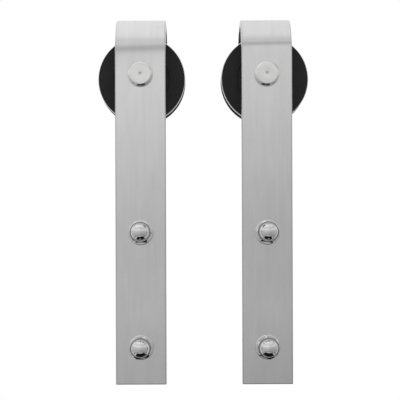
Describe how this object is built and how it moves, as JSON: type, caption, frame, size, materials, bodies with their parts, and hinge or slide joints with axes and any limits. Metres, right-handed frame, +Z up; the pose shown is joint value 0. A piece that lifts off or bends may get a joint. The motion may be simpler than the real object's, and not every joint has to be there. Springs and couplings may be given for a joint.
{
  "type": "sliding door hanger pair",
  "caption": "Bent-strap sliding door hangers: flat brushed straps hooked over black grooved wheels on ball bearings, with round-headed axle bolts and domed door nuts.",
  "frame": {"origin": "on the plane of the door's front face, in the middle of the rectangle of four door bolts", "axes": "+X along the door from the left hanger to the right one, +Y from the room towards the wall, along the door bolts, +Z up"},
  "size_m": [0.217, 0.1127, 0.3735],
  "materials": {
    "brushed_stainless": "brushed lengthwise, satin",
    "black_wheel": "satin black",
    "black_spring_steel": "oiled black",
    "bearing_steel": "ground",
    "polished_balls": "polished",
    "cage_steel": "pressed",
    "shield_steel": "pressed",
    "turned_steel": "turned, zinc plated",
    "turned_stainless": "turned face, polished rim",
    "plated_steel": "zinc plated",
    "nylon_insert": "moulded",
    "polished_chrome": "mirror polished"
  },
  "bodies": {
    "root": {"left_strap": "brushed_stainless", "left_bearing_inner_race": "bearing_steel", "left_front_spacer": "turned_steel", "left_rear_spacer": "turned_steel", "left_axle_bolt": "turned_stainless", "left_axle_washer": "plated_steel", "left_axle_lock_nut": "plated_steel", "left_axle_lock_nut_insert": "nylon_insert", "left_upper_door_bolt": "plated_steel", "left_upper_rear_washer": "plated_steel", "left_upper_front_washer": "polished_chrome", "left_upper_cap_nut": "polished_chrome", "left_lower_door_bolt": "plated_steel", "left_lower_rear_washer": "plated_steel", "left_lower_front_washer": "polished_chrome", "left_lower_cap_nut": "polished_chrome", "right_strap": "brushed_stainless", "right_bearing_inner_race": "bearing_steel", "right_front_spacer": "turned_steel", "right_rear_spacer": "turned_steel", "right_axle_bolt": "turned_stainless", "right_axle_washer": "plated_steel", "right_axle_lock_nut": "plated_steel", "right_axle_lock_nut_insert": "nylon_insert", "right_upper_door_bolt": "plated_steel", "right_upper_rear_washer": "plated_steel", "right_upper_front_washer": "polished_chrome", "right_upper_cap_nut": "polished_chrome", "right_lower_door_bolt": "plated_steel", "right_lower_rear_washer": "plated_steel", "right_lower_front_washer": "polished_chrome", "right_lower_cap_nut": "polished_chrome"},
    "left_wheel": {"left_wheel": "black_wheel", "left_bearing_retaining_ring": "black_spring_steel", "left_bearing_outer_race": "bearing_steel", "left_bearing_front_shield": "shield_steel", "left_bearing_rear_shield": "shield_steel"},
    "left_ball_cage": {"left_bearing_cage": "cage_steel", "left_bearing_balls": "polished_balls"},
    "right_wheel": {"right_wheel": "black_wheel", "right_bearing_retaining_ring": "black_spring_steel", "right_bearing_outer_race": "bearing_steel", "right_bearing_front_shield": "shield_steel", "right_bearing_rear_shield": "shield_steel"},
    "right_ball_cage": {"right_bearing_cage": "cage_steel", "right_bearing_balls": "polished_balls"}
  },
  "joints": [
    {"name": "left_wheel_spin", "type": "hinge", "parent": "root", "child": "left_wheel", "pos_m": [-0.0635, 0.029, 0.2165], "axis": [0, 1, 0], "continuous": true},
    {"name": "left_ball_cage_spin", "type": "hinge", "parent": "root", "child": "left_ball_cage", "pos_m": [-0.0635, 0.029, 0.2165], "axis": [0, 1, 0], "continuous": true},
    {"name": "right_wheel_spin", "type": "hinge", "parent": "root", "child": "right_wheel", "pos_m": [0.0635, 0.029, 0.2165], "axis": [0, 1, 0], "continuous": true},
    {"name": "right_ball_cage_spin", "type": "hinge", "parent": "root", "child": "right_ball_cage", "pos_m": [0.0635, 0.029, 0.2165], "axis": [0, 1, 0], "continuous": true}
  ],
  "couplings": [
    {"joint": "left_ball_cage_spin", "follows": "left_wheel_spin", "ratio": 0.6353},
    {"joint": "right_ball_cage_spin", "follows": "right_wheel_spin", "ratio": 0.6353}
  ]
}
